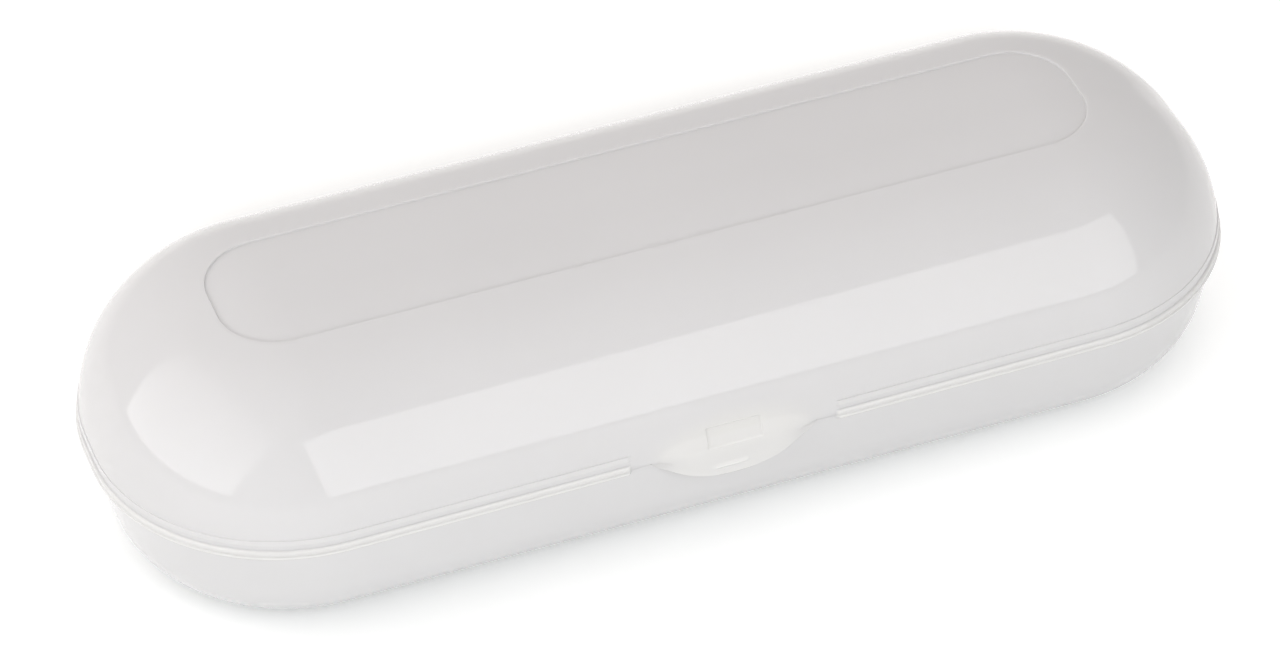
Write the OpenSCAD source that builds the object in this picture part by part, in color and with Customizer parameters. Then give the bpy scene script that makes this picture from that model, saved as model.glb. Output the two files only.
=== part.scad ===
// Hard case for a pair of glasses: two moulded shells, a rear hinge on two pins, and a snap latch.
// The origin is the centre of the flat underside. +X runs along the case, +Y to the hinge, +Z up.

/* [Body] */
// Length of the body at the rim, without the bead
case_length = 164; // [144:1:190]
// Width of the body at the rim, without the bead
case_width = 60; // [58:1:72]
// Radius of the four corners in plan, at the rim
corner_radius = 27.6; // [24:0.2:28.4]
// Thickness of the moulded walls
wall = 1.4; // [1.2:0.1:1.8]

/* [Lid] */
// Height of the lid above the rim
lid_height = 22; // [19:0.5:26]
// Radius of the crown across the lid's top
crown_radius = 46; // [40:1:60]
// Height of the straight wall between the rim and the shoulder
lid_wall_height = 0.85; // [0.5:0.05:3]
// Draft of the lid's wall in degrees
lid_draft = 2; // [0.5:0.5:4]
// Distance from the core line to the edge of the sunken panel
panel_reach = 8.6; // [6:0.2:14]
// Depth of the sunken panel
panel_depth = 0.3; // [0.1:0.05:0.5]

/* [Base] */
// Height of the base below the rim
base_height = 18; // [15:0.5:24]
// Radius of the edge between the base's wall and its underside
base_edge_radius = 12; // [6:0.5:14]
// Draft of the base's wall in degrees
base_draft = 12; // [6:1:15]

/* [Rim] */
// How far the rim bead stands out of the body
bead_reach = 0.45; // [0.3:0.05:0.8]
// Height of the lid's half of the bead
lid_bead_height = 0.85; // [0.7:0.05:2.4]
// Height of the base's half of the bead
base_bead_height = 0.9; // [0.7:0.05:2.4]
// Chamfer on the edge of each half of the bead that faces away from the rim
bead_chamfer = 0.25; // [0.1:0.05:0.35]
// Height of the locating lip above the rim
lip_height = 1.5; // [0.8:0.1:2]
// Thickness of the locating lip
lip_thickness = 0.8; // [0.6:0.1:1]
// Clearance between the locating lip and the lid's wall
lip_clearance = 0.25; // [0.15:0.05:0.35]

/* [Thumb tab] */
// Width of the gap that the rim bead leaves for the latch
clasp_width = 29.4; // [27:0.1:36]
// Width of the thumb tab at the rim
tab_width = 23.8; // [18:0.1:25]
// How far the thumb tab hangs below the rim
tab_drop = 4.75; // [3:0.05:5.2]
// Thickness of the thumb tab
tab_thickness = 0.6; // [0.5:0.05:1.2]
// Gap between the thumb tab and the base's wall at the rim
tab_gap = 0.2; // [0.15:0.05:0.4]

/* [Latch] */
// Width of the latch tongue
tongue_width = 8.2; // [6:0.1:12]
// Thickness of the latch tongue
tongue_thickness = 1.1; // [0.9:0.1:1.4]
// Height of the latch tongue above the rim
tongue_rise = 2.8; // [2.7:0.1:3.6]
// Depth of the latch tongue's root below the rim
tongue_root = 4.75; // [4.4:0.05:5.4]
// Distance between the lid's wall and the latch tongue
tongue_inset = 1.1; // [1:0.05:1.3]
// How far the latch nose stands out of the tongue
nose_reach = 0.55; // [0.45:0.05:0.65]
// Clearance between the latch tongue and the parts around it
latch_clearance = 0.25; // [0.2:0.05:0.3]

/* [Hinge] */
// Distance between the middles of the two hinges
hinge_spacing = 70; // [40:1:80]
// Radius of the hinge knuckles
knuckle_radius = 2.2; // [2:0.1:2.8]
// Length of the lid's knuckle in each hinge
lid_knuckle_length = 7; // [5:0.5:9]
// Length of each of the base's two knuckles in a hinge
base_knuckle_length = 4.5; // [3.5:0.5:6]
// Gap between neighbouring knuckles
knuckle_gap = 0.3; // [0.2:0.05:0.5]
// Radius of the hinge pins
pin_radius = 0.9; // [0.7:0.05:1.1]
// Running clearance round a pin in the lid's knuckle
pin_clearance = 0.08; // [0.04:0.01:0.1]
// Seating clearance round a pin in the base's knuckles
pin_seat_clearance = 0.02; // [0.01:0.01:0.04]
// How far the ends of a pin lie inside the knuckles
pin_end_inset = 0.3; // [0:0.1:0.6]
// Angle in degrees at which the lid's heels stop on the base
opening_angle = 115; // [100:1:130]

/* [Hidden] */
$fn = 96;

milky_plastic = [0.86, 0.86, 0.85];
pale_plastic = [0.9, 0.9, 0.88];
pin_steel = [0.62, 0.63, 0.65];

// The core is the rectangle between the centres of the four corners
core_x = case_length / 2 - corner_radius;
core_y = case_width / 2 - corner_radius;
front = case_width / 2;

// The lid's section is a drafted wall, a shoulder arc and a crown arc, each tangent to the next.
// Its x is the distance out from the core, and its y the height above the rim.
lid_normal = direction(lid_draft);
crown_centre = [0, lid_height - crown_radius];
lid_wall_top = [corner_radius - lid_wall_height * tan(lid_draft), lid_wall_height];
wall_to_crown = lid_wall_top - crown_centre;
shoulder_radius = (crown_radius ^ 2 - wall_to_crown * wall_to_crown)
    / (2 * (crown_radius - wall_to_crown * lid_normal));
shoulder_centre = lid_wall_top - shoulder_radius * lid_normal;
crown_angle = atan2(shoulder_centre[1] - crown_centre[1], shoulder_centre[0]);

// The base's section is a drafted wall and one edge arc, drawn downwards from the rim
base_normal = direction(-base_draft);
edge_height = base_edge_radius - base_height;
edge_centre = [corner_radius - (base_edge_radius + edge_height * base_normal[1]) / base_normal[0], edge_height];

// Degrees between the points of the drawn arcs
arc_step = 4;

// Inner faces of the walls at the rim, as distances from the body's middle
lid_inside = front - wall / cos(lid_draft);
base_inside = front - wall / cos(base_draft);

// Rim
bead_root = wall / 2;
lip_outside = corner_radius - wall / cos(lid_draft) - lip_clearance;
lip_foot = 2.2;
lip_step = 0.2;

// Thumb tab
tab_radius = ((tab_width / 2) ^ 2 + tab_drop ^ 2) / (2 * tab_drop);
tab_blend_height = 4.5;
tab_blend_lean = 18;
tab_back = front + tab_gap;
tab_face = tab_back + tab_thickness;
tab_edge_slope = 0.25;

// Latch, with heights above the rim
tongue_face = lid_inside - tongue_inset;
tongue_back = tongue_face - tongue_thickness;
catch_low = 0.1;
catch_flat_low = 0.5;
catch_flat_high = 0.9;
catch_high = 1.15;
catch_tip = tongue_face + latch_clearance;
catch_side = 0.5;
catch_width = tongue_width - 2 * catch_side;
nose_low = 1.2;
nose_flat_low = 1.5;
nose_flat_high = 1.8;
nose_high = 2.5;
seat_wall = 1.2;
seat_top = -2.2;
slot_floor = -tongue_root - latch_clearance;
seat_floor = slot_floor - seat_wall;

// Hinge
hinge_y = front + bead_reach + knuckle_gap + knuckle_radius;
hinge_z = base_height;
stop_clearance = 0.1;
heel_reach = knuckle_radius + knuckle_gap - stop_clearance;
heel_drop = 2;
lug_root = hinge_y - front + wall / 2;
hinge_length = lid_knuckle_length + 2 * (base_knuckle_length + knuckle_gap);
pin_length = hinge_length - 2 * pin_end_inset;

function direction(angle) = [cos(angle), sin(angle)];

// Points along an arc from one direction to another
function arc(centre, radius, from, to) =
    let (steps = ceil(abs(to - from) / arc_step))
    [for (i = [0:steps]) centre + radius * direction(from + (to - from) * i / steps)];

function all_but_first(points) = [for (i = [1:len(points) - 1]) points[i]];

function reversed(points) = [for (i = [len(points) - 1:-1:0]) points[i]];

// Curve of the lid from its rim to its ridge, moved in from the outer face by inset
function lid_curve(inset) = concat(
    [[corner_radius - inset / cos(lid_draft), 0]],
    arc(shoulder_centre, shoulder_radius - inset, lid_draft, crown_angle),
    all_but_first(arc(crown_centre, crown_radius - inset, crown_angle, 90))
);

// Height of that curve at a distance out from the core
function lid_curve_height(x, inset) =
    x < (crown_radius - inset) * cos(crown_angle)
        ? crown_centre[1] + sqrt((crown_radius - inset) ^ 2 - x ^ 2)
        : shoulder_centre[1] + sqrt((shoulder_radius - inset) ^ 2 - (x - shoulder_centre[0]) ^ 2);

// Curve of the base from its rim to the middle of its underside, moved in by inset
function base_curve(inset) = concat(
    [[corner_radius - inset / cos(base_draft), 0]],
    arc(edge_centre, base_edge_radius - inset, -base_draft, -90),
    [[0, inset - base_height]]
);

module lid_wall_section() {
    polygon(concat(
        [for (point = lid_curve(0)) if (point[0] > panel_reach) point],
        [for (inset = [0, panel_depth]) [panel_reach, lid_curve_height(panel_reach, inset)]],
        [for (point = lid_curve(panel_depth)) if (point[0] < panel_reach) point],
        reversed(lid_curve(wall))
    ));
}

module base_wall_section() {
    polygon(concat(base_curve(0), reversed(base_curve(wall))));
}

// Half of the rim bead, standing on the rim with a chamfer on its far edge
module bead_section(height) {
    outside = corner_radius + bead_reach;
    polygon([
        [corner_radius - bead_root, 0],
        [outside, 0],
        [outside, height - bead_chamfer],
        [outside - bead_chamfer, height],
        [corner_radius - bead_root, height]
    ]);
}

// Locating lip on a foot that grows out of the base's wall
module lip_section() {
    lip_inside = lip_outside - lip_thickness;
    polygon([
        [lip_inside, lip_height],
        [lip_outside, lip_height],
        [lip_outside, -lip_step],
        [corner_radius - bead_root, -lip_step],
        [corner_radius - bead_root, -lip_foot],
        [lip_inside, -lip_foot / 2]
    ]);
}

// Carries a half section round the body: along the sides of the core, and turned at its corners
module around_core() {
    for (half_turn = [0, 180])
        rotate([0, 0, half_turn]) {
            translate([0, core_y, 0])
                rotate([90, 0, 90])
                    linear_extrude(2 * core_x, center = true)
                        children();
            translate([core_x, 0, 0])
                rotate([90, 0, 0])
                    linear_extrude(2 * core_y, center = true)
                        children();
            translate([core_x, core_y, 0])
                rotate_extrude(angle = 90)
                    children();
            translate([-core_x, core_y, 0])
                rotate([0, 0, 90])
                    rotate_extrude(angle = 90)
                        children();
        }
}

// Flat strip over or under the core, between two heights
module core_strip(low, high) {
    translate([-core_x, -core_y, low])
        cube([2 * core_x, 2 * core_y, high - low]);
}

// Space in front of the case that interrupts a rim feature over a width
module front_gap(width) {
    translate([-width / 2, -2 * front, -base_height / 2])
        cube([width, 2 * front - core_y, base_height]);
}

// A section drawn with x towards the rear and y up, carried along the case and centred on it
module along_case(length) {
    rotate([90, 0, 90])
        linear_extrude(length, center = true)
            children();
}

// The same for features on the front, drawn with x towards the front
module along_front(length) {
    rotate([90, 0, -90])
        linear_extrude(length, center = true)
            children();
}

// One knuckle round the hinge line with its lug, which lies above or below the rim
module knuckle(length, bore_radius, lug_side, heel) {
    along_case(length)
        difference() {
            union() {
                circle(r = knuckle_radius);
                translate([-lug_root, lug_side < 0 ? -knuckle_radius : 0])
                    square([lug_root, knuckle_radius]);
                if (heel)
                    rotate(opening_angle)
                        translate([-heel_reach, -heel_drop])
                            square([heel_reach, heel_drop]);
            }
            circle(r = bore_radius);
        }
}

module at_hinges() {
    for (side = [-1, 1])
        translate([side * hinge_spacing / 2, hinge_y, hinge_z])
            children();
}

// Lower shell with its rim, its lip, the hinge's outer knuckles and the latch's seat
module base_shell() {
    color(milky_plastic) {
        difference() {
            translate([0, 0, base_height])
                union() {
                    around_core()
                        base_wall_section();
                    core_strip(-base_height, wall - base_height);
                    base_rim();
                    latch_seat();
                }
            translate([0, 0, base_height])
                latch_slot();
        }
        at_hinges()
            for (end = [-1, 1])
                translate([end * (lid_knuckle_length + base_knuckle_length + 2 * knuckle_gap) / 2, 0, 0])
                    knuckle(base_knuckle_length, pin_radius + pin_seat_clearance, -1, false);
    }
}

module base_rim() {
    difference() {
        around_core()
            rotate([180, 0, 0])
                bead_section(base_bead_height);
        front_gap(clasp_width);
    }
    difference() {
        around_core()
            lip_section();
        front_gap(tongue_width + 2 * seat_wall + 2 * latch_clearance);
    }
}

// Block on the inside of the front wall that carries the latch tongue's root
module latch_seat() {
    seat_front = base_inside + wall / 2;
    seat_back = tongue_back - latch_clearance - seat_wall;
    along_front(tongue_width + 2 * (latch_clearance + seat_wall))
        polygon([
            [seat_back, seat_top],
            [seat_front + seat_top * tan(base_draft), seat_top],
            [seat_front + seat_floor * tan(base_draft), seat_floor],
            [seat_back + seat_wall, seat_floor],
            [seat_back, seat_floor + seat_wall]
        ]);
}

module latch_slot() {
    along_front(tongue_width + 2 * latch_clearance)
        translate([tongue_back - latch_clearance, slot_floor])
            square([tongue_thickness + 2 * latch_clearance, -slot_floor]);
}

// Upper shell with its rim, the catch for the latch, the thumb tab and the hinge's middle knuckles
module lid_shell() {
    color(milky_plastic) {
        translate([0, 0, base_height]) {
            around_core()
                lid_wall_section();
            core_strip(lid_height - wall, lid_height - panel_depth);
            difference() {
                around_core()
                    bead_section(lid_bead_height);
                front_gap(clasp_width);
            }
            catch_rib();
            thumb_tab();
        }
        at_hinges()
            knuckle(lid_knuckle_length, pin_radius + pin_clearance, 1, true);
    }
}

// Rib inside the lid's front wall that the latch nose sits over
module catch_rib() {
    rib_root = lid_inside + wall / 2;
    along_front(catch_width)
        polygon([
            [rib_root, catch_low],
            [lid_inside, catch_low],
            [catch_tip, catch_flat_low],
            [catch_tip, catch_flat_high],
            [lid_inside, catch_high],
            [rib_root, catch_high]
        ]);
}

// Round tab that hangs in front of the base and fades into the lid's wall above the rim
module thumb_tab() {
    intersection() {
        translate([0, 0, tab_radius - tab_drop])
            rotate([90, 0, 0])
                cylinder(r = tab_radius, h = 2 * front);
        along_front(clasp_width)
            polygon([
                [front - wall / 2, 0],
                [tab_back, 0],
                [tab_back, -tab_drop],
                [tab_face - tab_edge_slope, -tab_drop],
                [tab_face, -tab_drop + 2 * tab_edge_slope],
                [tab_face, 0],
                [tab_face - tab_blend_height * tan(tab_blend_lean), tab_blend_height],
                [front - wall / 2, tab_blend_height]
            ]);
    }
}

// Springy tongue that stands in its seat on the base, with the nose that snaps over the catch
module latch_tongue() {
    nose_tip = tongue_face + nose_reach;
    lead_in = tongue_thickness / 3;
    color(pale_plastic)
        translate([0, 0, base_height])
            along_front(tongue_width)
                polygon([
                    [tongue_back, -tongue_root],
                    [tongue_face, -tongue_root],
                    [tongue_face, nose_low],
                    [nose_tip, nose_flat_low],
                    [nose_tip, nose_flat_high],
                    [tongue_face, nose_high],
                    [tongue_face - lead_in, tongue_rise],
                    [tongue_back + lead_in, tongue_rise],
                    [tongue_back, tongue_rise - lead_in]
                ]);
}

module hinge_pin(side) {
    color(pin_steel)
        translate([side * hinge_spacing / 2, hinge_y, hinge_z])
            rotate([0, 90, 0])
                cylinder(r = pin_radius, h = pin_length, center = true);
}

module hinge_pin_left() {
    hinge_pin(-1);
}

module hinge_pin_right() {
    hinge_pin(1);
}

base_shell();
lid_shell();
latch_tongue();
hinge_pin_left();
hinge_pin_right();
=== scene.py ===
from math import acos, asin, atan2, cos, degrees, hypot, pi, radians, sin, sqrt, tan

import bmesh
import bpy
from mathutils import Matrix, Vector


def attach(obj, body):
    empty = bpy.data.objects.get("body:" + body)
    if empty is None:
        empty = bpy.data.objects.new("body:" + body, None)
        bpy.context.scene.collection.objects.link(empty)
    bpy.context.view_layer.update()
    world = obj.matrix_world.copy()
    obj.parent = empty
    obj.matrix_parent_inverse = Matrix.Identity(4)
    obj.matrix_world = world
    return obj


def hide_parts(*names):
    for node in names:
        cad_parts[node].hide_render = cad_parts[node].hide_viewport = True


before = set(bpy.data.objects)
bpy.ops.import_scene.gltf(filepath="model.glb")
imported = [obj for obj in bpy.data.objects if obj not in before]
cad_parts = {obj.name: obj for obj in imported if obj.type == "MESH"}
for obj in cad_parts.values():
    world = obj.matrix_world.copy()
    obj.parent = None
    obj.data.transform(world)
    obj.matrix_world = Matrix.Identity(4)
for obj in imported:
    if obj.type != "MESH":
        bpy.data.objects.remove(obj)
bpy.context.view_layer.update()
print("frame loaded:", ", ".join(sorted(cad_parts)))

mm = 0.001
scene = bpy.context.scene
scene.view_settings.view_transform = "Standard"

# Sizes are in millimetres. A section is a list of points (distance out from the core, height above the rim).
# The core is the rectangle between the centres of the four corners, and both shells are swept round it.
body = {"length": 164, "width": 60, "corner": 27.6, "wall": 1.4, "rim": 18, "cornerSteps": 22}
coreX = body["length"] / 2 - body["corner"]
coreY = body["width"] / 2 - body["corner"]
front = body["width"] / 2

# How meshes are finished: points this close become one, and edges over these angles stay sharp or are rounded
meshing = {"mergeWithin": 0.002, "degenerateUnder": 0.001, "sharpDegrees": 35, "roundDegrees": 40,
           "roundSteps": 3}
# A round mark that an ejector or a gate leaves: a sloped edge, and a level middle
pressedMark = {"sides": 24, "edge": 0.12, "middleShare": 0.5}


def onCircle(centre, radius, angle):
    return (centre[0] + radius * cos(radians(angle)), centre[1] + radius * sin(radians(angle)))


def arc(centre, radius, start, end, steps):
    return [onCircle(centre, radius, start + (end - start) * i / steps) for i in range(steps + 1)]


def blendPoints(first, second, share):
    return [tuple(a + (b - a) * share for a, b in zip(p, q)) for p, q in zip(first, second)]


def evenly(start, end, count):
    return [start + (end - start) * i / (count - 1) for i in range(count)]


def roundAngles(sides):
    return [2 * pi * i / sides for i in range(sides)]


# 0 below a share of 0, 1 above a share of 1, and a smooth curve between them
def eased(share):
    share = min(max(share, 0), 1)
    return share * share * (3 - 2 * share)


# joins two rings of as many points each by a band of faces
def joinRings(bm, first, second):
    for i in range(len(first)):
        following = (i + 1) % len(first)
        bm.faces.new((first[i], first[following], second[following], second[i]))


# a mesh object from a bmesh in millimetres, smooth but for its sharp edges
def finishPiece(name, bm, bodyName, material, replaced):
    bmesh.ops.remove_doubles(bm, verts=bm.verts, dist=meshing["mergeWithin"])
    bmesh.ops.dissolve_degenerate(bm, edges=bm.edges, dist=meshing["degenerateUnder"])
    bmesh.ops.recalc_face_normals(bm, faces=bm.faces)
    bmesh.ops.scale(bm, vec=Vector((mm, mm, mm)), verts=bm.verts)
    mesh = bpy.data.meshes.new(name)
    bm.to_mesh(mesh)
    bm.free()
    mesh.shade_smooth()
    mesh.set_sharp_from_angle(angle=radians(meshing["sharpDegrees"]))
    piece = bpy.data.objects.new(name, mesh)
    scene.collection.objects.link(piece)
    weighted = piece.modifiers.new("faceWeightedNormals", "WEIGHTED_NORMAL")
    weighted.keep_sharp = True
    mesh.materials.append(material)
    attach(piece, bodyName)
    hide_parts(*replaced)


# rounds every edge that is sharp enough
def roundEdges(bm, width):
    bmesh.ops.recalc_face_normals(bm, faces=bm.faces)
    least = radians(meshing["roundDegrees"])
    sharp = [e for e in bm.edges if len(e.link_faces) == 2 and e.calc_face_angle(0) > least]
    bmesh.ops.bevel(bm, geom=sharp, offset=width, segments=meshing["roundSteps"], profile=0.5, affect="EDGES",
                    clamp_overlap=True)


# walks round the core: along the front at the given places, then round the four corners
def coreStations(frontPlaces):
    stations = [(x, -coreY, 0, -1, x) for x in frontPlaces]
    corners = [(coreX, -coreY, -90), (coreX, coreY, 0), (-coreX, coreY, 90), (-coreX, -coreY, 180)]
    for x, y, start in corners:
        for i in range(body["cornerSteps"] + 1):
            angle = radians(start + 90 * i / body["cornerSteps"])
            stations.append((x, y, cos(angle), sin(angle), None))
    return stations


# sweeps sections round the core, and returns the two open loops at the start and end of the sections
def sweepShell(bm, stations, sectionAt):
    rows = []
    for x, y, outX, outY, place in stations:
        rows.append([bm.verts.new((x + outX * reach, y + outY * reach, body["rim"] + height))
                     for reach, height in sectionAt(place)])
    for i, row in enumerate(rows):
        following = rows[(i + 1) % len(rows)]
        for j in range(len(row) - 1):
            bm.faces.new((row[j], following[j], following[j + 1], row[j + 1]))
    return [row[0] for row in rows], [row[-1] for row in rows]


# closes a flat opening, with round ejector or gate marks that are pressed into it
def closeFlat(bm, loop, marks, inwards):
    bmesh.ops.remove_doubles(bm, verts=loop, dist=meshing["mergeWithin"])
    loop = [v for v in loop if v.is_valid]
    edges = {e for v in loop for e in v.link_edges if e.is_boundary and e.other_vert(v) in loop}
    height = loop[0].co.z
    for x, y, radius, depth in marks:
        rings = []
        reaches = (radius, radius - pressedMark["edge"], radius * pressedMark["middleShare"])
        for reach, sunk in zip(reaches, (0, depth, depth)):
            rings.append([bm.verts.new((x + reach * cos(a), y + reach * sin(a), height + inwards * sunk))
                          for a in roundAngles(pressedMark["sides"])])
        for outer, inner in zip(rings, rings[1:]):
            joinRings(bm, outer, inner)
        bm.faces.new(rings[-1])
        edges |= {bm.edges.get(pair) for pair in zip(rings[0], rings[0][1:] + rings[0][:1])}
    bm.edges.index_update()
    inOrder = sorted(edges, key=lambda edge: edge.index)  # so that each run fills it alike
    bmesh.ops.triangle_fill(bm, use_beauty=True, use_dissolve=False, edges=inOrder)


# a solid between the same outline at two places along x, with the outline given as (forward, up)
def extrudeAlongFront(bm, outline, width):
    ends = [[bm.verts.new((side * width / 2, -forward, body["rim"] + up)) for forward, up in outline]
            for side in (-1, 1)]
    joinRings(bm, *ends)
    bm.faces.new(ends[0])
    bm.faces.new(ends[1])


# the linear colour of an sRGB hex code
def linear(code):
    parts = [int(code[i:i + 2], 16) / 255 for i in (1, 3, 5)]
    return [*(v / 12.92 if v <= 0.04045 else ((v + 0.055) / 1.055) ** 2.4 for v in parts), 1]


# adds a node, with settings for its sockets or properties and links into its sockets
def addNode(tree, kind, settings=None, links=None):
    node = tree.nodes.new("ShaderNode" + kind)
    for key, value in (settings or {}).items():
        if isinstance(key, str) and hasattr(node, key):
            setattr(node, key, value)
        else:
            node.inputs[key].default_value = value
    for key, source in (links or {}).items():
        tree.links.new(source, node.inputs[key])
    return node


def newMaterial(name):
    material = bpy.data.materials.new(name)
    material.use_nodes = True
    material.node_tree.nodes.clear()
    return material, material.node_tree


# Natural polypropylene, injection moulded in a polished tool: milky right through, so light enters and
# softens every shade, with a gloss that shows faint flow clouds, the tool's fine ripple and hairline handling
# marks. The ripple and the hairlines are finer on a real case, and are drawn as wide as they need to show.
# Glow is the share of light that scatters inside the plastic, and clear is the share that passes through it.
polypropylene = {
    "milky": {"colour": "#D6D6D7", "cloud": "#D1D1D2", "roughness": 0.055, "glow": 0.35, "clear": 0.08},
    "pale": {"colour": "#DEDFDA", "cloud": "#D8D9D4", "roughness": 0.2, "glow": 0.3, "clear": 0.1},
    "ior": 1.49,
    "scatter": 1.6,
    "scatterTint": (1.0, 1.0, 0.92),
    "cloudSize": 28,
    "cloudDetail": 3.0,
    "cloudSoftness": 0.45,
    "rippleSize": 1.8,
    "rippleDetail": 2.0,
    "rippleHeight": 0.0012,
    "rippleRange": (0.3, 0.7),
    "rippleGloss": (-0.01, 0.015),
    "scratchSpacing": 3.2,
    "scratchStretch": (0.12, 1, 1),
    "scratchTurn": (0.3, 0.2, 0.5),
    "scratchWidth": 0.012,
    "scratchDepth": 0.0008,
    # Painted light: round the tab and catch the plastic is thicker, and is also painted lighter to lift the
    # shade there
    "thickAndLitColour": "#D9D9D7",
    "thickAndLitMiddle": (0, -29, 17.5),
    "thickAndLitHalf": (12.5, 8, 6),
    "thickAndLitFade": (0.45, 1.2),
    # Painted highlight: what stands proud, such as the beads, is painted lighter to brighten the rim's ridge,
    # besides being milkier
    "proudHighlightColour": "#DADAD9",
    "proudHighlightReach": (0.02, 0.2),
}


# how far a place lies outside the core, which may be stretched by some millimetres along x and y
def outsideCore(tree, place, stretch):
    centre = [v / 2 * mm for v in stretch]
    centred = addNode(tree, "VectorMath", {"operation": "SUBTRACT", 1: (*centre, 0)}, {0: place})
    mirrored = addNode(tree, "VectorMath", {"operation": "ABSOLUTE"}, {0: centred.outputs[0]})
    beyond = addNode(tree, "VectorMath", {"operation": "SUBTRACT",
                                          1: (coreX * mm + centre[0], coreY * mm + centre[1], 0)},
                     {0: mirrored.outputs[0]})
    outside = addNode(tree, "VectorMath", {"operation": "MAXIMUM", 1: (0, 0, 0)}, {0: beyond.outputs[0]})
    return addNode(tree, "VectorMath", {"operation": "LENGTH"}, {0: outside.outputs[0]}).outputs["Value"]


# What stands proud of the walls, such as the beads, is thicker and milkier, and is painted lighter besides,
# a painted highlight along the rim's ridge. Thickened is for a piece with a tab and a catch, whose thick
# middle is painted lighter, painted light that lifts the tab's shade, and fades out into the wall.
def mouldedPolypropylene(name, kind, thickenedAndLit=False):
    look = polypropylene[kind]
    material, tree = newMaterial(name + "PolypropyleneMoulded")
    place = addNode(tree, "TexCoord").outputs["Object"]
    cloud = addNode(tree, "TexNoise", {
        "Scale": 1 / (polypropylene["cloudSize"] * mm), "Detail": polypropylene["cloudDetail"],
        "Roughness": polypropylene["cloudSoftness"]}, {"Vector": place})
    colour = addNode(tree, "Mix", {"data_type": "RGBA", 6: linear(look["colour"]), 7: linear(look["cloud"])},
                     {0: cloud.outputs["Fac"]}).outputs[2]
    # painted light: the lid's middle round the tab and catch is painted lighter, lifting the shade there,
    # besides being thicker
    if thickenedAndLit:
        offset = addNode(tree, "VectorMath", {"operation": "SUBTRACT",
                                              1: [v * mm for v in polypropylene["thickAndLitMiddle"]]}, {0: place})
        share = addNode(tree, "VectorMath", {"operation": "DIVIDE",
                                             1: [v * mm for v in polypropylene["thickAndLitHalf"]]},
                        {0: offset.outputs[0]})
        reach = addNode(tree, "VectorMath", {"operation": "LENGTH"}, {0: share.outputs[0]})
        fadeStart, fadeEnd = polypropylene["thickAndLitFade"]
        thick = addNode(tree, "MapRange", {
            "interpolation_type": "SMOOTHSTEP", "From Min": fadeStart, "From Max": fadeEnd,
            "To Min": 1.0, "To Max": 0.0}, {"Value": reach.outputs["Value"]})
        colour = addNode(tree, "Mix", {"data_type": "RGBA", 7: linear(polypropylene["thickAndLitColour"])},
                         {0: thick.outputs["Result"], 6: colour}).outputs[2]
    # painted highlight: the proud beads are painted lighter to brighten the ridge along the rim, as well as
    # being thicker and milkier
    if kind == "milky":
        plan = addNode(tree, "VectorMath", {"operation": "MULTIPLY", 1: (1, 1, 0)}, {0: place})
        start, end = (body["corner"] + reach for reach in polypropylene["proudHighlightReach"])
        proud = addNode(tree, "MapRange", {"From Min": start * mm, "From Max": end * mm},
                        {"Value": outsideCore(tree, plan.outputs[0], (0, 0))})
        colour = addNode(tree, "Mix", {"data_type": "RGBA", 7: linear(polypropylene["proudHighlightColour"])},
                         {0: proud.outputs["Result"], 6: colour}).outputs[2]
    ripple = addNode(tree, "TexNoise", {"Scale": 1 / (polypropylene["rippleSize"] * mm),
                                        "Detail": polypropylene["rippleDetail"]}, {"Vector": place})
    stretched = addNode(tree, "Mapping", {"Scale": polypropylene["scratchStretch"],
                                          "Rotation": polypropylene["scratchTurn"]}, {"Vector": place})
    scratch = addNode(tree, "TexVoronoi", {"feature": "DISTANCE_TO_EDGE",
                                           "Scale": 1 / (polypropylene["scratchSpacing"] * mm)},
                      {"Vector": stretched.outputs["Vector"]})
    hairline = addNode(tree, "MapRange", {"From Min": 0.0, "From Max": polypropylene["scratchWidth"],
                                          "To Min": 1.0, "To Max": 0.0},
                       {"Value": scratch.outputs["Distance"]})
    flat, steep = polypropylene["rippleRange"]
    smoother, rougher = (look["roughness"] + change for change in polypropylene["rippleGloss"])
    roughness = addNode(tree, "MapRange", {"From Min": flat, "From Max": steep, "To Min": smoother,
                                           "To Max": rougher}, {"Value": ripple.outputs["Fac"]})
    rippleBump = addNode(tree, "Bump", {"Strength": 1.0, "Distance": polypropylene["rippleHeight"] * mm},
                         {"Height": ripple.outputs["Fac"]})
    scratchBump = addNode(tree, "Bump", {"Strength": 1.0, "invert": True,
                                         "Distance": polypropylene["scratchDepth"] * mm},
                          {"Height": hairline.outputs["Result"], "Normal": rippleBump.outputs["Normal"]})
    shader = addNode(tree, "BsdfPrincipled", {
        "IOR": polypropylene["ior"], "Subsurface Weight": look["glow"],
        "Subsurface Radius": polypropylene["scatterTint"], "Subsurface Scale": polypropylene["scatter"] * mm,
        "Transmission Weight": look["clear"],
    }, {"Base Color": colour, "Roughness": roughness.outputs["Result"],
        "Normal": scratchBump.outputs["Normal"]})
    addNode(tree, "OutputMaterial", links={"Surface": shader.outputs["BSDF"]})
    return material


# Stainless spring wire, cold drawn: fine lines along its length, slightly duller than polished steel. The
# lines are finer on real wire, and are drawn coarser so that they show.
steelWire = {"colour": "#B9BABC", "dark": "#A7A8AB", "roughness": 0.28, "lineSpacing": 0.08,
             "lineStretch": (0.02, 1, 1), "lineDetail": 2.0, "lineDepth": 0.002}


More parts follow.
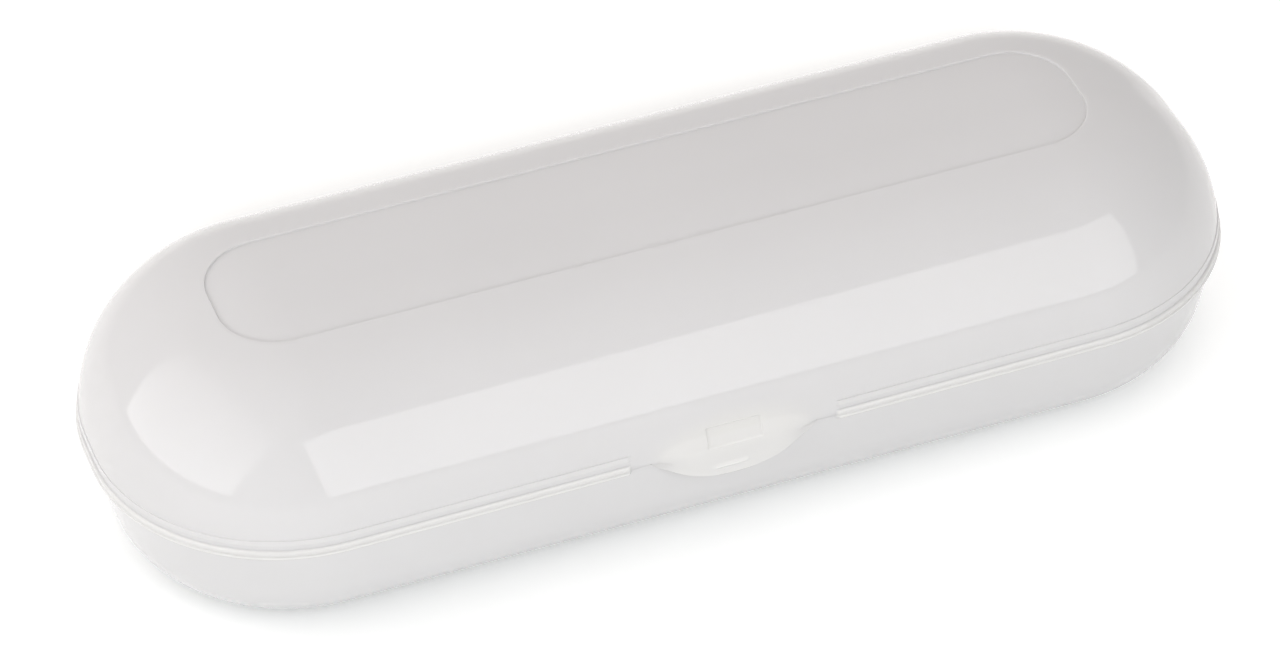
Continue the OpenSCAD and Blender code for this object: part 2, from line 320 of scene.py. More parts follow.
def drawnSteel():
    material, tree = newMaterial("stainlessWireDrawn")
    place = addNode(tree, "TexCoord").outputs["Object"]
    drawn = addNode(tree, "Mapping", {"Scale": steelWire["lineStretch"]}, {"Vector": place})
    lines = addNode(tree, "TexNoise", {"Scale": 1 / (steelWire["lineSpacing"] * mm),
                                       "Detail": steelWire["lineDetail"]},
                    {"Vector": drawn.outputs["Vector"]})
    colour = addNode(tree, "Mix", {"data_type": "RGBA", 6: linear(steelWire["colour"]),
                                   7: linear(steelWire["dark"])}, {0: lines.outputs["Fac"]})
    bump = addNode(tree, "Bump", {"Strength": 1.0, "Distance": steelWire["lineDepth"] * mm},
                   {"Height": lines.outputs["Fac"]})
    shader = addNode(tree, "BsdfPrincipled", {"Metallic": 1.0, "Roughness": steelWire["roughness"]},
                     {"Base Color": colour.outputs[2], "Normal": bump.outputs["Normal"]})
    addNode(tree, "OutputMaterial", links={"Surface": shader.outputs["BSDF"]})
    return material


milkyPlastic = mouldedPolypropylene("milky", "milky")
lidPlastic = mouldedPolypropylene("lid", "milky", True)
palePlastic = mouldedPolypropylene("latch", "pale")
pinSteel = drawnSteel()
print("materials made")

# Lid: a drafted wall, a shoulder arc and a crown arc, tangent to each other, with a sunken panel on top.
# Along the rim runs a fine raised line over a rounded bead. The catch inside the front leaves a sink mark
# outside. Marks are (x, y, radius, depth), and steps are the parts that each arc is drawn in.
lid = {
    "height": 22, "crownRadius": 46, "wallHeight": 0.85, "draft": 2,
    "panelReach": 8.6, "panelDepth": 0.3, "panelFillet": 0.14,
    "beadReach": 0.36, "beadHeight": 0.87, "beadRound": 0.5, "beadEnd": 0.7, "beadEndStations": 7,
    "lineReach": 0.16, "lineHeights": (1.6, 2.4), "lineRound": 0.07, "heightsAboveLine": (4, 3.4, 2.9),
    "rimGap": 0.004, "rimChamfer": 0.005, "rimMiddle": 0.7, "innerRound": 0.15, "innerRoundMiddle": 0.04,
    "claspWidth": 29.4, "claspMargin": 1, "plainTop": 4.6, "insideStart": 3,
    "sinkHalf": 4.05, "sinkHeights": (0.5, 3.6), "sinkDepth": 0.16, "sinkEdge": 0.2,
    "sinkEdgeStations": (1, 0.7, 0.3, 0),
    "marks": [(x, 0, 1.9, 0.08) for x in (-45, -15, 15, 45)],
    "steps": {"panel": 9, "fillet": 3, "line": 2, "crown": 6, "shoulder": 30, "bead": 17,
              "insideShoulder": 24, "insideCrown": 7},
}
# Thumb tab: a round flap that hangs from the lid's wall over the base, with a small grip bar on its face.
# Its heights are the rows of its mesh at the middle, down the wall and then down the flap.
tab = {
    "width": 23.8, "drop": 4.75, "thickness": 0.6, "gap": 0.2, "gapHeight": 0.3, "blendHeight": 4.4,
    "edgeRound": 0.2, "leastThickness": 0.12, "fadeHalf": 12.6, "fadeWidth": 7,
    "stations": 32, "stationSpacing": 0.3, "plainLow": 0.1, "plainPlace": 13.6,
    "wallHeights": (4.1, 3.78, 3.7, 3.6, 3.5, 3.4, 3.0, 2.3, 1.5, 0.85, 0.7, 0.6, 0.5, 0.4),
    "flapHeights": (0, -0.4, -0.8, -1.15, -1.5, -1.85, -2.2, -2.35, -2.5, -2.65, -2.8, -2.95, -3.1, -3.25,
                    -3.5, -3.9, -4.25, -4.5, -4.67, -4.75),
    "gripMiddle": -0.8, "gripHalf": 2.6, "gripHeight": -2.8, "gripTall": 0.5, "gripRise": 0.3,
    "gripEnd": 0.5, "gripEndStations": (1, 0.5, 0), "gripFade": 2.5,
}

lidNormal = (cos(radians(lid["draft"])), sin(radians(lid["draft"])))
crownCentre = (0, lid["height"] - lid["crownRadius"])
wallTop = (body["corner"] - lid["wallHeight"] * tan(radians(lid["draft"])), lid["wallHeight"])
wallToCrown = (wallTop[0] - crownCentre[0], wallTop[1] - crownCentre[1])
normalShare = wallToCrown[0] * lidNormal[0] + wallToCrown[1] * lidNormal[1]
shoulderRadius = ((lid["crownRadius"] ** 2 - wallToCrown[0] ** 2 - wallToCrown[1] ** 2)
                  / (2 * (lid["crownRadius"] - normalShare)))
shoulderCentre = tuple(w - shoulderRadius * n for w, n in zip(wallTop, lidNormal))
crownAngle = degrees(atan2(shoulderCentre[1] - crownCentre[1], shoulderCentre[0]))

tabRadius = ((tab["width"] / 2) ** 2 + tab["drop"] ** 2) / (2 * tab["drop"])
tabMiddle = tabRadius - tab["drop"]
claspHalf = lid["claspWidth"] / 2


# how far out the lid's plain outer wall lies at a height near the rim
def lidWallReach(height):
    if height < lid["wallHeight"]:
        return body["corner"] - height * tan(radians(lid["draft"]))
    return shoulderCentre[0] + sqrt(shoulderRadius ** 2 - (height - shoulderCentre[1]) ** 2)


# share of a bead that is present at a place on the front, where both beads leave a gap for the clasp
def beadShare(place):
    return eased((abs(place) - claspHalf) / lid["beadEnd"])


def beadEndPlaces():
    return evenly(claspHalf, claspHalf + lid["beadEnd"], lid["beadEndStations"])


# share of a rounded end that is present at a distance into it
def roundedShare(distance, radius):
    into = min(max(distance / radius, 0), 1)
    return sqrt(1 - (1 - into) ** 2)


# the rim's outline on the lid, downwards: a fine raised line, a stretch of plain wall, and the bead
def lidBead():
    out, gap, chamfer = body["corner"] + lid["beadReach"], lid["rimGap"], lid["rimChamfer"]
    low, high = lid["lineHeights"]
    small, raised = lid["lineRound"], lid["lineReach"]
    lowWall, highWall = lidWallReach(low), lidWallReach(high)
    upper = [(lidWallReach(height), height) for height in lid["heightsAboveLine"]]
    for centre, start, end in (
            ((highWall + small, high + small), 180, 270), ((highWall + raised - small, high - small), 90, 0),
            ((lowWall + raised - small, low + small), 0, -90), ((lowWall + small, low - small), 90, 180)):
        upper += arc(centre, small, start, end, lid["steps"]["line"])
    upper += [(lidWallReach(lid["beadHeight"] + small), lid["beadHeight"] + small)]
    curve = lid["beadRound"]
    start = degrees(acos((curve - lid["beadReach"]) / curve))
    centre = (out - curve, lid["beadHeight"] - curve * sin(radians(start)))
    upper += arc(centre, curve, start, 0, lid["steps"]["bead"])
    return upper, [(out, gap + 3 * chamfer), (out, gap + chamfer), (out - chamfer, gap)]


# the rim's outline in the gap for the latch: the wall with its sink mark, which runs out into the thumb tab
def lidTab(place, upperCount, lowerCount):
    low = min(tabMiddle - sqrt(tabRadius ** 2 - place ** 2), tab["plainLow"])
    sideways = eased((tab["fadeHalf"] - abs(place)) / tab["fadeWidth"])
    proud = (tab["gap"] + tab["thickness"]) * sideways
    sinkLow, sinkHigh = lid["sinkHeights"]
    sunkSideways = eased((lid["sinkHalf"] - abs(place)) / lid["sinkEdge"])
    besideGrip = abs(place - tab["gripMiddle"]) - tab["gripHalf"]
    gripSideways = eased(-besideGrip / tab["gripEnd"])

    def behind(height):
        if height > 0:
            return lidWallReach(height)
        return body["corner"] + tab["gap"] * min(1, -height / tab["gapHeight"])

    def face(height):
        if height > 0:
            sunk = min(eased((height - sinkLow) / lid["sinkEdge"]),
                       eased((sinkHigh - height) / lid["sinkEdge"]))
            risen = proud * eased(1 - height / tab["blendHeight"])
            return lidWallReach(height) + risen - lid["sinkDepth"] * sunk * sunkSideways
        least = tab["leastThickness"] * min(1, -height / tab["gapHeight"])
        thick = max(body["corner"] + proud - behind(height), least)
        gripUpwards = eased(1 - abs(height - tab["gripHeight"]) / tab["gripTall"])
        edge = roundedShare(tabRadius - hypot(place, height - tabMiddle), tab["edgeRound"])
        return behind(height) + (thick + tab["gripRise"] * gripSideways * gripUpwards) * edge

    # the flap's rows shrink with it towards its sides, but stay level across the grip bar
    top, gripLow = tab["wallHeights"][-1], tab["gripHeight"] - tab["gripTall"]
    level = eased(1 - besideGrip / tab["gripFade"])
    heights = list(tab["wallHeights"])
    for height in tab["flapHeights"]:
        shrunk = low + (top - low) * (height + tab["drop"]) / (top + tab["drop"])
        kept = max(height, low + (gripLow - low) * (height + tab["drop"]) / (gripLow + tab["drop"]))
        heights.append(shrunk + (kept - shrunk) * level)
    assert len(heights) == upperCount  # the tab has as many rows as the bead that it takes over from
    upper = [(face(height), height) for height in heights]
    lower = [(behind(height), height) for height in evenly(low, lid["rimGap"], lowerCount + 1)[1:]]
    return upper, lower


def lidSection(place):
    depth, panel, fillet = lid["panelDepth"], lid["panelReach"], lid["panelFillet"]
    crown, steps = lid["crownRadius"], lid["steps"]

    def crownHeight(reach, inset):
        return crownCentre[1] + sqrt((crown - inset) ** 2 - reach ** 2)

    inner, outer = panel - fillet, panel + fillet
    section = [(reach, crownHeight(reach, depth)) for reach in evenly(0, inner, steps["panel"])]
    section += arc((inner, crownHeight(inner, depth) + fillet), fillet, -90, 0, steps["fillet"])[1:]
    section += arc((outer, crownHeight(outer, 0) - fillet), fillet, 180, 90, steps["fillet"])
    startAngle = degrees(atan2(crownHeight(outer, 0) - crownCentre[1], outer))
    section += arc(crownCentre, crown, startAngle, crownAngle, steps["crown"])[1:]
    plainAngle = degrees(asin((lid["plainTop"] - shoulderCentre[1]) / shoulderRadius))
    section += arc(shoulderCentre, shoulderRadius, crownAngle, plainAngle, steps["shoulder"])[1:]
    upper, lower = lidBead()
    if place is not None and abs(place) < claspHalf - lid["claspMargin"]:
        upper, lower = lidTab(place, len(upper), len(lower))
    elif place is not None:
        share = beadShare(place)
        upper = blendPoints([(lidWallReach(h), h) for r, h in upper], upper, share)
        lower = blendPoints([(lidWallReach(h), h) for r, h in lower], lower, share)
    section += upper + lower
    inside = body["corner"] - body["wall"] / cos(radians(lid["draft"]))
    wall, gap, curve, bulge = body["wall"], lid["rimGap"], lid["innerRound"], lid["innerRoundMiddle"]
    section += [(inside + lid["rimMiddle"], gap), (inside + curve, gap), (inside + bulge, gap + bulge),
                (inside, gap + curve)]
    section += arc(shoulderCentre, shoulderRadius - wall, lid["insideStart"], crownAngle,
                   steps["insideShoulder"])
    section += arc(crownCentre, crown - wall, crownAngle, 90, steps["insideCrown"])[1:]
    return section


def lidPlaces():
    sink = [lid["sinkHalf"] - lid["sinkEdge"] * share for share in lid["sinkEdgeStations"]]
    grip = [abs(tab["gripMiddle"] + side * (tab["gripHalf"] - tab["gripEnd"] * share))
            for side in (-1, 1) for share in tab["gripEndStations"]]
    spread = [tab["fadeHalf"] * sin(radians(t)) for t in evenly(0, 90, tab["stations"] // 2 + 1)]
    right = [x for x in spread if all(abs(x - y) > tab["stationSpacing"] for y in sink + grip)] + sink + grip
    right = sorted(right) + [tab["plainPlace"]] + beadEndPlaces()
    return [-x for x in reversed(right[1:])] + right


bm = bmesh.new()
topLoop, ceilingLoop = sweepShell(bm, coreStations(lidPlaces()), lidSection)
closeFlat(bm, topLoop, [], 1)
closeFlat(bm, ceilingLoop, lid["marks"], 1)
finishPiece("lidShell", bm, "lid", lidPlastic, ["lid_shell"])
print("lid made")

# Base: a drafted wall and one edge arc down to the flat underside, with the locating lip inside its rim
base = {
    "height": 18, "edgeRadius": 12, "draft": 12,
    "beadReach": 0.45, "beadHeight": 0.68, "beadTop": 0.25, "beadUnder": 0.36, "beadFillet": 0.1,
    "lipHeight": 1.5, "lipThickness": 0.8, "lipClearance": 0.25, "lipFoot": 2.2, "lipStep": 0.2,
    "lipGap": 11.1, "lipRound": 0.2, "lipRoundDegrees": (0, 25, 50, 70, 90), "lipMiddle": 0.5,
    "lowestPlain": -2.4,
    "rimMiddle": 0.7, "innerChamfer": 0.08, "stepLean": 0.03,
    "floorMarks": [(x, y, 2.5, 0.08) for x in (-48, -16, 16, 48) for y in (-8, 8)],
    "gateMarks": [(0, 0, 2.2, 0.25)],
    "steps": {"edge": 26, "fillet": 3, "bead": 7, "lip": 3, "insideEdge": 22},
}
baseNormal = (cos(radians(base["draft"])), -sin(radians(base["draft"])))
edgeHeight = base["edgeRadius"] - base["height"]
edgeCentre = (body["corner"] - (base["edgeRadius"] + edgeHeight * baseNormal[1]) / baseNormal[0], edgeHeight)


def baseWallReach(height, inset):
    return body["corner"] - inset / cos(radians(base["draft"])) + height * tan(radians(base["draft"]))


def baseSection(place):
    wall, draft, steps = body["wall"], base["draft"], base["steps"]
    out, low, fillet = body["corner"] + base["beadReach"], -base["beadHeight"], base["beadFillet"]
    topRound, underRound = base["beadTop"], base["beadUnder"]
    section = arc(edgeCentre, base["edgeRadius"], -90, -draft, steps["edge"])
    section += [(baseWallReach(base["lowestPlain"], 0), base["lowestPlain"])]
    root = baseWallReach(low - fillet, 0)
    bead = arc((root + fillet, low - fillet), fillet, 180, 90, steps["fillet"])
    bead += arc((out - underRound, low + underRound), underRound, -90, 0, steps["bead"])
    bead += arc((out - topRound, -topRound), topRound, 0, 90, steps["bead"])
    plain = [(baseWallReach(h, 0), h) for r, h in bead]
    section += blendPoints(plain, bead, 1 if place is None else beadShare(place))
    inside, chamfer = baseWallReach(0, wall), base["innerChamfer"]
    section += [(inside + base["rimMiddle"], 0), (inside + chamfer, 0)]
    lipOut = body["corner"] - wall / cos(radians(lid["draft"])) - base["lipClearance"]
    lipIn, top, end = lipOut - base["lipThickness"], base["lipHeight"], base["lipRound"]
    # the lip's sloping foot meets the inner wall at this share of its length
    footLow, footOut = -base["lipFoot"], body["corner"] - wall / 2
    slope = (footLow / 2) / (footOut - lipIn)
    joint = (baseWallReach(footLow / 2, wall) - lipIn) / (1 - slope * tan(radians(draft)))
    meet = (lipIn + joint, footLow / 2 + slope * joint)
    lip = [(inside, -chamfer), (inside - base["stepLean"], -base["lipStep"]), (lipOut, -base["lipStep"]),
           (lipOut, base["lipMiddle"])]
    lip += arc((lipOut - end, top - end), end, 0, 90, steps["lip"])
    lip += arc((lipIn + end, top - end), end, 90, 180, steps["lip"])
    lip += [(lipIn, 0), (lipIn, footLow / 2), meet]
    heights = evenly(-chamfer, meet[1], len(lip))
    noLip = [(baseWallReach(h, wall), h) for h in heights]
    lipShare = 1 if place is None else roundedShare(abs(place) - base["lipGap"] / 2, end)
    section += blendPoints(noLip, lip, lipShare)
    section += arc(edgeCentre, base["edgeRadius"] - wall, -draft, -90, steps["insideEdge"])
    return section


def basePlaces():
    right = [base["lipGap"] / 2 + base["lipRound"] * (1 - cos(radians(t))) for t in base["lipRoundDegrees"]]
    right += beadEndPlaces()
    return [-x for x in reversed(right)] + right


bm = bmesh.new()
underLoop, floorLoop = sweepShell(bm, coreStations(basePlaces()), baseSection)
closeFlat(bm, underLoop, base["gateMarks"], 1)
closeFlat(bm, floorLoop, base["floorMarks"], -1)
finishPiece("baseShell", bm, "base", milkyPlastic, ["base_shell"])
print("base made")

# Latch: a springy tongue that stands in a seat on the base, and a catch rib inside the lid's front wall
latch = {
    "width": 8.2, "thickness": 1.1, "rise": 2.8, "root": 4.75, "inset": 1.1, "clearance": 0.25,
    "noseReach": 0.55, "noseHeights": (1.2, 1.5, 1.8, 2.5), "rootTaper": 0.3, "flexHeight": 3.6,
    "catchHeights": (0.1, 0.5, 0.9, 1.15), "catchWidth": 7.2,
    "seatWall": 1.2, "seatTop": -2.2, "rounding": 0.12,
}
lidInside = front - body["wall"] / cos(radians(lid["draft"]))
baseInside = front - body["wall"] / cos(radians(base["draft"]))
tongueFace = lidInside - latch["inset"]
tongueBack = tongueFace - latch["thickness"]


def makeTongue():
    noseLow, flatLow, flatHigh, noseHigh = latch["noseHeights"]
    tip, leadIn = tongueFace + latch["noseReach"], latch["thickness"] / 3
    bm = bmesh.new()
    extrudeAlongFront(bm, [
        (tongueBack, -latch["root"]), (tongueFace - latch["rootTaper"], -latch["root"]),
        (tongueFace, -latch["flexHeight"]), (tongueFace, noseLow), (tip, flatLow),
        (tip, flatHigh), (tongueFace, noseHigh), (tongueFace - leadIn, latch["rise"]),
        (tongueBack + leadIn, latch["rise"]), (tongueBack, latch["rise"] - leadIn),
    ], latch["width"])
    roundEdges(bm, latch["rounding"])
    finishPiece("latchTongue", bm, "latch", palePlastic, ["latch_tongue"])


def makeCatch():
    low, flatLow, flatHigh, high = latch["catchHeights"]
    root, tip = lidInside + body["wall"] / 2, tongueFace + latch["clearance"]
    bm = bmesh.new()
    extrudeAlongFront(bm, [(root, low), (lidInside, low), (tip, flatLow), (tip, flatHigh), (lidInside, high),
                           (root, high)], latch["catchWidth"])
    roundEdges(bm, latch["rounding"] / 2)
    finishPiece("catchRib", bm, "lid", milkyPlastic, ["lid_shell"])


# the seat is a block with a pocket for the tongue's root, grown out of the base's front wall
def makeSeat():
    clearance, wall, top = latch["clearance"], latch["seatWall"], latch["seatTop"]
    floor = -latch["root"] - clearance
    low, lean = floor - wall, tan(radians(base["draft"]))
    frontTop, frontLow = (baseInside + body["wall"] / 2 + height * lean for height in (top, low))
    back = tongueBack - clearance - wall
    half = latch["width"] / 2 + clearance
    bm = bmesh.new()

    def corners(width, nearer, farther, height):
        return [bm.verts.new((side * width, -forward, body["rim"] + height))
                for side, forward in ((-1, nearer), (1, nearer), (1, farther), (-1, farther))]

    outerTop = corners(half + wall, frontTop, back, top)
    outerWaist = corners(half + wall, frontLow + wall * lean, back, floor)
    outerLow = corners(half + wall, frontLow, back + wall, low)
    innerTop = corners(half, tongueFace + clearance, tongueBack - clearance, top)
    innerLow = corners(half, tongueFace + clearance, tongueBack - clearance, floor)
    for upper, lower in ((outerTop, outerWaist), (outerWaist, outerLow), (innerTop, outerTop),
                         (innerLow, innerTop)):
        joinRings(bm, upper, lower)
    bm.faces.new(outerLow)
    bm.faces.new(innerLow)
    roundEdges(bm, latch["rounding"])
    finishPiece("latchSeat", bm, "base", milkyPlastic, ["base_shell"])


makeTongue()
makeCatch()
makeSeat()
print("latch made")

# Hinges: three knuckles on a steel pin, the outer two on the base, and the middle one on the lid. Its heel
# comes to rest on the base when the lid stands open.
hinge = {
    "spacing": 70, "radius": 2.2, "lidLength": 7, "baseLength": 4.5, "gap": 0.3, "pinRadius": 0.9,
    "lidBore": 0.98, "baseBore": 0.92, "pinInset": 0.3, "openingAngle": 115, "heelDrop": 2,
    "stopClearance": 0.1, "rounding": 0.14, "pinChamfer": 0.12,
    "sides": 48, "pinSides": 32, "lugEndDegrees": 0.1,
}
hingeY = front + base["beadReach"] + hinge["gap"] + hinge["radius"]
lugRoot = hingeY - front + body["wall"] / 2


# distance from the pin's centre to the edge of a rectangle in one quarter, turned by an angle
def quarterReach(angle, turned, sideways, upwards, signs):
    tiny = 1e-9
    along, across = cos(radians(angle - turned)) * signs[0], sin(radians(angle - turned)) * signs[1]
    if along < -tiny or across < -tiny:
        return 0
    return min(sideways / max(along, tiny), upwards / max(across, tiny))


# a ring of points round the pin's centre, from a list of (angle, reach)
def hingeRing(bm, x, outline):
    return [bm.verts.new((x, hingeY + reach * cos(angle), body["rim"] + reach * sin(angle)))
            for angle, reach in outline]


# a knuckle with a lug that joins it to its shell, upwards on the lid and downwards on the base
def makeKnuckle(bm, middle, length, bore, lugUp, heel):
    heelReach = hinge["radius"] + hinge["gap"] - hinge["stopClearance"]
    lugCorner = degrees(atan2(hinge["radius"], lugRoot))
    heelCorner = degrees(atan2(hinge["heelDrop"], heelReach))
    # the lug's flat side lies in the rim's plane, and ends where the round part starts
    angles = {360 * i / hinge["sides"] for i in range(hinge["sides"])}
    angles |= {180 - lugUp * lugCorner, 180 + lugUp * hinge["lugEndDegrees"]}
    if heel:
        angles |= {(180 + heelCorner + hinge["openingAngle"]) % 360, (180 + hinge["openingAngle"]) % 360}
    outside = []
    for angle in sorted(angles):
        reach = max(hinge["radius"], quarterReach(angle, 0, lugRoot, hinge["radius"], (-1, lugUp)))
        if heel:
            reach = max(reach, quarterReach(angle, hinge["openingAngle"], heelReach, hinge["heelDrop"],
                                            (-1, -1)))
        outside.append((radians(angle), reach))
    inside = [(angle, bore) for angle, reach in outside]
    rings = [hingeRing(bm, middle + side * length / 2, outline)
             for side, outline in ((-1, inside), (-1, outside), (1, outside), (1, inside))]
    for ring, following in zip(rings, rings[1:] + rings[:1]):
        joinRings(bm, ring, following)


def makePin(name, middle, node):
    length = hinge["lidLength"] + 2 * (hinge["baseLength"] + hinge["gap"]) - 2 * hinge["pinInset"]
    chamfer, radius = hinge["pinChamfer"], hinge["pinRadius"]
    end = [(length / 2 - chamfer, radius), (length / 2 - chamfer / 3, radius - chamfer / 3),
           (length / 2, radius - chamfer)]
    profile = [(-along, reach) for along, reach in reversed(end)] + end
    bm = bmesh.new()
    rings = [hingeRing(bm, middle + along, [(angle, reach) for angle in roundAngles(hinge["pinSides"])])
             for along, reach in profile]
    for ring, following in zip(rings, rings[1:]):
        joinRings(bm, ring, following)
    bm.faces.new(rings[0])
    bm.faces.new(rings[-1])
    finishPiece(name, bm, "base", pinSteel, [node])


for side, word in ((-1, "Left"), (1, "Right")):
    middle = side * hinge["spacing"] / 2
    bm = bmesh.new()
    makeKnuckle(bm, middle, hinge["lidLength"], hinge["lidBore"], 1, True)
    roundEdges(bm, hinge["rounding"])
    finishPiece("lidKnuckle" + word, bm, "lid", milkyPlastic, ["lid_shell"])
    bm = bmesh.new()
    offset = (hinge["lidLength"] + hinge["baseLength"]) / 2 + hinge["gap"]
    for end in (-1, 1):
        makeKnuckle(bm, middle + end * offset, hinge["baseLength"], hinge["baseBore"], -1, False)
    roundEdges(bm, hinge["rounding"])
    finishPiece("baseKnuckles" + word, bm, "base", milkyPlastic, ["base_shell"])
    makePin("hingePin" + word, middle, "hinge_pin_" + word.lower())
print("hinges made")

# Table: white card that keeps the case's soft shadow. Outside the shadow it glows a little to the camera and
# in reflections, so that it reads as white, and far away it turns into the room. Lifts are strengths of that
# glow: left and right are away from the case, near is close to its front, and hidden is close to its back.
# They start and end at distances outside the core, which is stretched backwards for the shadow.
table = {
    "rings": (100, 400, 2400), "sides": 48, "colour": "#F0F2F2",
    "liftNear": 0.17, "liftHidden": 0.0, "liftLeft": 0.2, "liftRight": 0.33, "liftStart": 13, "liftEnd": 30,
    "hiddenFrom": -18, "hiddenFull": 0, "shadowBehind": 41, "shadowLean": 0.25,
    "fadeStart": 420, "fadeEnd": 1500,
}
# Room: its walls are brighter behind and above the case. The camera and reflections see them in one tone.
room = {"dim": "#5E5E5E", "middle": "#C4C4C4", "bright": "#FFF9F6", "seen": "#EDEDED",
        "brightSide": (-0.47, 0.72, 0.51)}


# 1 for what the camera, a reflection or a view through the plastic sees, 0 for light that falls on a surface
def seenDirectly(tree):
    path = addNode(tree, "LightPath")
    seen = addNode(tree, "Math", {"operation": "MAXIMUM"},
                   {0: path.outputs["Is Camera Ray"], 1: path.outputs["Is Glossy Ray"]})
    return addNode(tree, "Math", {"operation": "MAXIMUM"},
                   {0: seen.outputs[0], 1: path.outputs["Is Transmission Ray"]}).outputs[0]


def makeTable():
    bm = bmesh.new()
    rings = [[bm.verts.new((reach * mm * cos(a), reach * mm * sin(a), 0))
              for a in roundAngles(table["sides"])] for reach in table["rings"]]
    bm.faces.new(rings[0])
    for inner, outer in zip(rings, rings[1:]):
        joinRings(bm, outer, inner)
    mesh = bpy.data.meshes.new("table")
    bm.to_mesh(mesh)
    bm.free()
    sheet = bpy.data.objects.new("table", mesh)
    scene.collection.objects.link(sheet)
    material, tree = newMaterial("whiteCardMatt")
    seen = seenDirectly(tree)
    place = addNode(tree, "TexCoord").outputs["Object"]
    # the lift follows the case's outline, stretched by the shadow that leans away behind it
    across = addNode(tree, "SeparateXYZ", links={0: place})
    behind = addNode(tree, "Math", {"operation": "MAXIMUM", 1: 0}, {0: across.outputs["Y"]})
    leaning = addNode(tree, "Math", {"operation": "MULTIPLY_ADD", 1: -table["shadowLean"]},
                      {0: behind.outputs[0], 2: across.outputs["X"]})
    leaned = addNode(tree, "CombineXYZ", links={"X": leaning.outputs[0], "Y": across.outputs["Y"]})
    fromCore = outsideCore(tree, leaned.outputs[0], (0, table["shadowBehind"]))
    end = body["length"] / 2 * mm
    farLift = addNode(tree, "MapRange", {"From Min": -end, "From Max": end, "To Min": table["liftLeft"],
                                         "To Max": table["liftRight"]}, {"Value": across.outputs["X"]})
    nearLift = addNode(tree, "MapRange", {
        "interpolation_type": "SMOOTHSTEP", "From Min": table["hiddenFrom"] * mm,
        "From Max": table["hiddenFull"] * mm, "To Min": table["liftNear"], "To Max": table["liftHidden"]},
        {"Value": across.outputs["Y"]})
    lift = addNode(tree, "MapRange", {
        "interpolation_type": "SMOOTHSTEP", "From Min": table["liftStart"] * mm,
        "From Max": table["liftEnd"] * mm},
        {"Value": fromCore, "To Min": nearLift.outputs["Result"], "To Max": farLift.outputs["Result"]})
    strength = addNode(tree, "Math", {"operation": "MULTIPLY"}, {0: lift.outputs["Result"], 1: seen})
    card = addNode(tree, "BsdfDiffuse", {"Color": linear(table["colour"])})
    glow = addNode(tree, "Emission", {"Color": (1, 1, 1, 1)}, {"Strength": strength.outputs[0]})
    near = addNode(tree, "AddShader", links={0: card.outputs[0], 1: glow.outputs[0]})
    distance = addNode(tree, "VectorMath", {"operation": "LENGTH"}, {0: place})
    away = addNode(tree, "MapRange", {"From Min": table["fadeStart"] * mm, "From Max": table["fadeEnd"] * mm},
                   {"Value": distance.outputs["Value"]})
    roomTone = addNode(tree, "Mix", {"data_type": "RGBA", 6: linear(room["middle"]), 7: linear(room["seen"])},
                       {0: seen})
    far = addNode(tree, "Emission", links={"Color": roomTone.outputs[2]})
    both = addNode(tree, "MixShader", links={0: away.outputs["Result"], 1: near.outputs[0],
                                             2: far.outputs[0]})
    addNode(tree, "OutputMaterial", links={"Surface": both.outputs[0]})
    mesh.materials.append(material)


makeTable()

# Studio: a softbox in front and one on the left, with a low fill in front and a small one above on the left.
# Directions are seen from the case, with 0 towards the front (-Y) and angles growing to the right.
# Brightness is the radiance of a box, where 1 is white, and fade is what is left of it at its upper edge.
# Only mirrored boxes show as reflections. A second lamp, just behind the left one, is for reflections alone.
softboxes = {
    "softboxFront": {"azimuth": 22, "elevation": 25, "distance": 900, "width": 840, "height": 780,
                     "brightness": 1.93, "fade": 1.0, "mirrored": True},
    "softboxLeft": {"azimuth": -86, "elevation": 33, "distance": 560, "width": 880, "height": 600,
                    "brightness": 1.28, "fade": 0.15, "mirrored": True},
    "softboxFill": {"azimuth": -25, "elevation": 10, "distance": 300, "width": 260, "height": 160,
                    "brightness": 1.15, "fade": 1.0, "mirrored": False},
    "softboxTop": {"azimuth": -105, "elevation": 48, "distance": 260, "width": 140, "height": 140,
                   "brightness": 1.1, "fade": 1.0, "mirrored": False},
}
softboxes["softboxLeftGloss"] = {**softboxes["softboxLeft"], "distance": 565, "brightness": 0.7,
                                 "glossOnly": True}


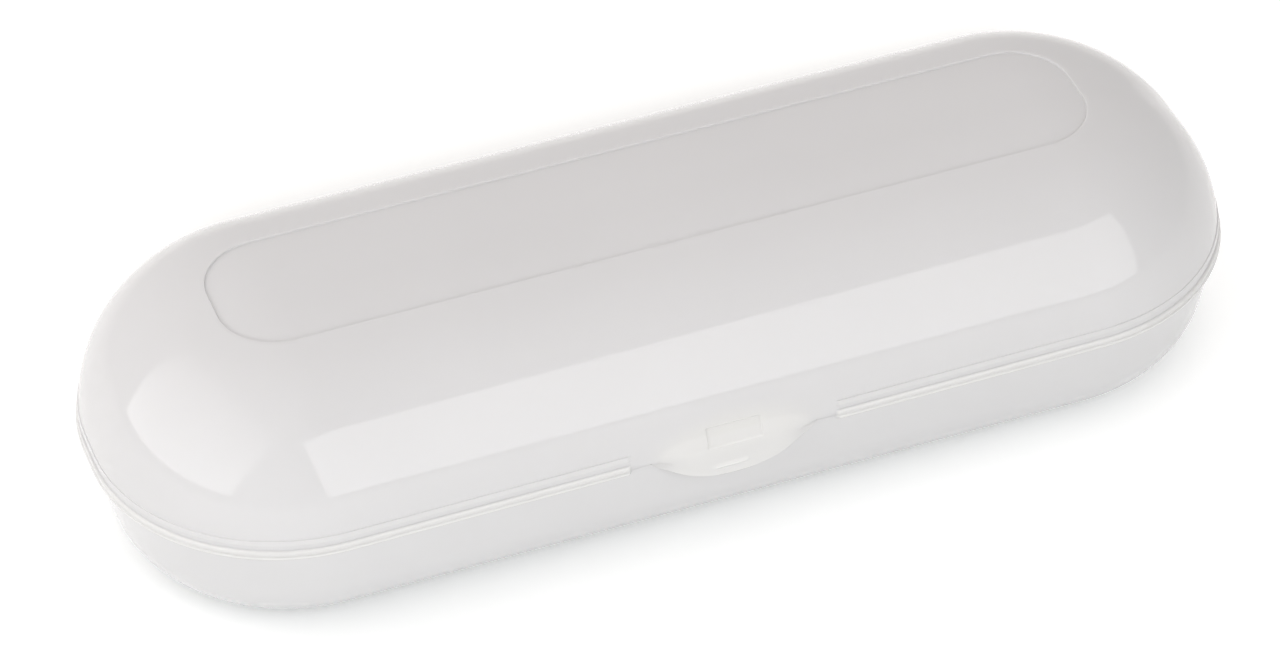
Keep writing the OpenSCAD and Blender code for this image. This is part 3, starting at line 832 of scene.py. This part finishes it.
def makeLights():
    for name, box in softboxes.items():
        light = bpy.data.lights.new(name, "AREA")
        light.shape = "RECTANGLE"
        light.size, light.size_y = box["width"] * mm, box["height"] * mm
        light.energy = box["brightness"] * pi * light.size * light.size_y
        light.use_nodes = True
        tree = light.node_tree
        tree.nodes.clear()
        across = addNode(tree, "SeparateXYZ", links={0: addNode(tree, "NewGeometry").outputs["Parametric"]})
        fade = addNode(tree, "MapRange", {"To Min": 1.0, "To Max": box["fade"]},
                       {"Value": across.outputs["Y"]})
        glow = addNode(tree, "Emission", links={"Strength": fade.outputs["Result"]})
        addNode(tree, "OutputLight", links={"Surface": glow.outputs[0]})
        lamp = bpy.data.objects.new(name, light)
        scene.collection.objects.link(lamp)
        lamp.visible_camera = False
        lamp.visible_glossy = box["mirrored"]
        lamp.visible_diffuse = "glossOnly" not in box
        azimuth, elevation = radians(box["azimuth"]), radians(box["elevation"])
        towards = Vector((sin(azimuth) * cos(elevation), -cos(azimuth) * cos(elevation), sin(elevation)))
        lamp.location = Vector((0, 0, body["rim"] * mm)) + towards * box["distance"] * mm
        lamp.rotation_euler = towards.to_track_quat("Z", "Y").to_euler()
    world = bpy.data.worlds.new("studioRoom")
    scene.world = world
    world.use_nodes = True
    tree = world.node_tree
    tree.nodes.clear()
    facing = addNode(tree, "VectorMath", {"operation": "DOT_PRODUCT", 1: room["brightSide"]},
                     {0: addNode(tree, "TexCoord").outputs["Generated"]})
    share = addNode(tree, "MapRange", {"From Min": -1.0, "From Max": 1.0}, {"Value": facing.outputs["Value"]})
    walls = addNode(tree, "Mix", {"data_type": "RGBA", 6: linear(room["dim"]), 7: linear(room["bright"])},
                    {0: share.outputs["Result"]})
    tone = addNode(tree, "Mix", {"data_type": "RGBA", 7: linear(room["seen"])},
                   {0: seenDirectly(tree), 6: walls.outputs[2]})
    even = addNode(tree, "Background", {"Strength": 1.0}, {"Color": tone.outputs[2]})
    addNode(tree, "OutputWorld", links={"Surface": even.outputs[0]})


makeLights()

# Camera: the photograph's viewpoint, worked out from the case's outline, for a picture of 1280 by 650
view = {"azimuth": -18.999, "elevation": 40.09, "roll": -2.156, "distance": 731.13,
        "focal": 5236.729, "moveRight": 17.139, "moveDown": -14.766, "pictureWidth": 1280,
        "sensorWidth": 36, "nearest": 10, "farthest": 20000}


def makeCamera():
    azimuth, elevation, roll = (radians(view[key]) for key in ("azimuth", "elevation", "roll"))
    back = Vector((sin(azimuth) * cos(elevation), -cos(azimuth) * cos(elevation), sin(elevation)))
    right = Vector((cos(azimuth), sin(azimuth), 0))
    up = back.cross(right)
    rolledRight = right * cos(roll) + up * sin(roll)
    rolledUp = up * cos(roll) - right * sin(roll)
    cameraData = bpy.data.cameras.new("camera")
    cameraData.sensor_width = view["sensorWidth"]
    cameraData.lens = view["focal"] * cameraData.sensor_width / view["pictureWidth"]
    cameraData.shift_x = -view["moveRight"] / view["pictureWidth"]
    cameraData.shift_y = view["moveDown"] / view["pictureWidth"]
    cameraData.clip_start, cameraData.clip_end = view["nearest"] * mm, view["farthest"] * mm
    camera = bpy.data.objects.new("camera", cameraData)
    scene.collection.objects.link(camera)
    place = Vector((0, 0, body["rim"] * mm)) + back * view["distance"] * mm
    turned = Matrix((rolledRight, rolledUp, back)).transposed().to_4x4()
    camera.matrix_world = Matrix.Translation(place) @ turned
    scene.camera = camera


makeCamera()
print("table, lights and camera made")
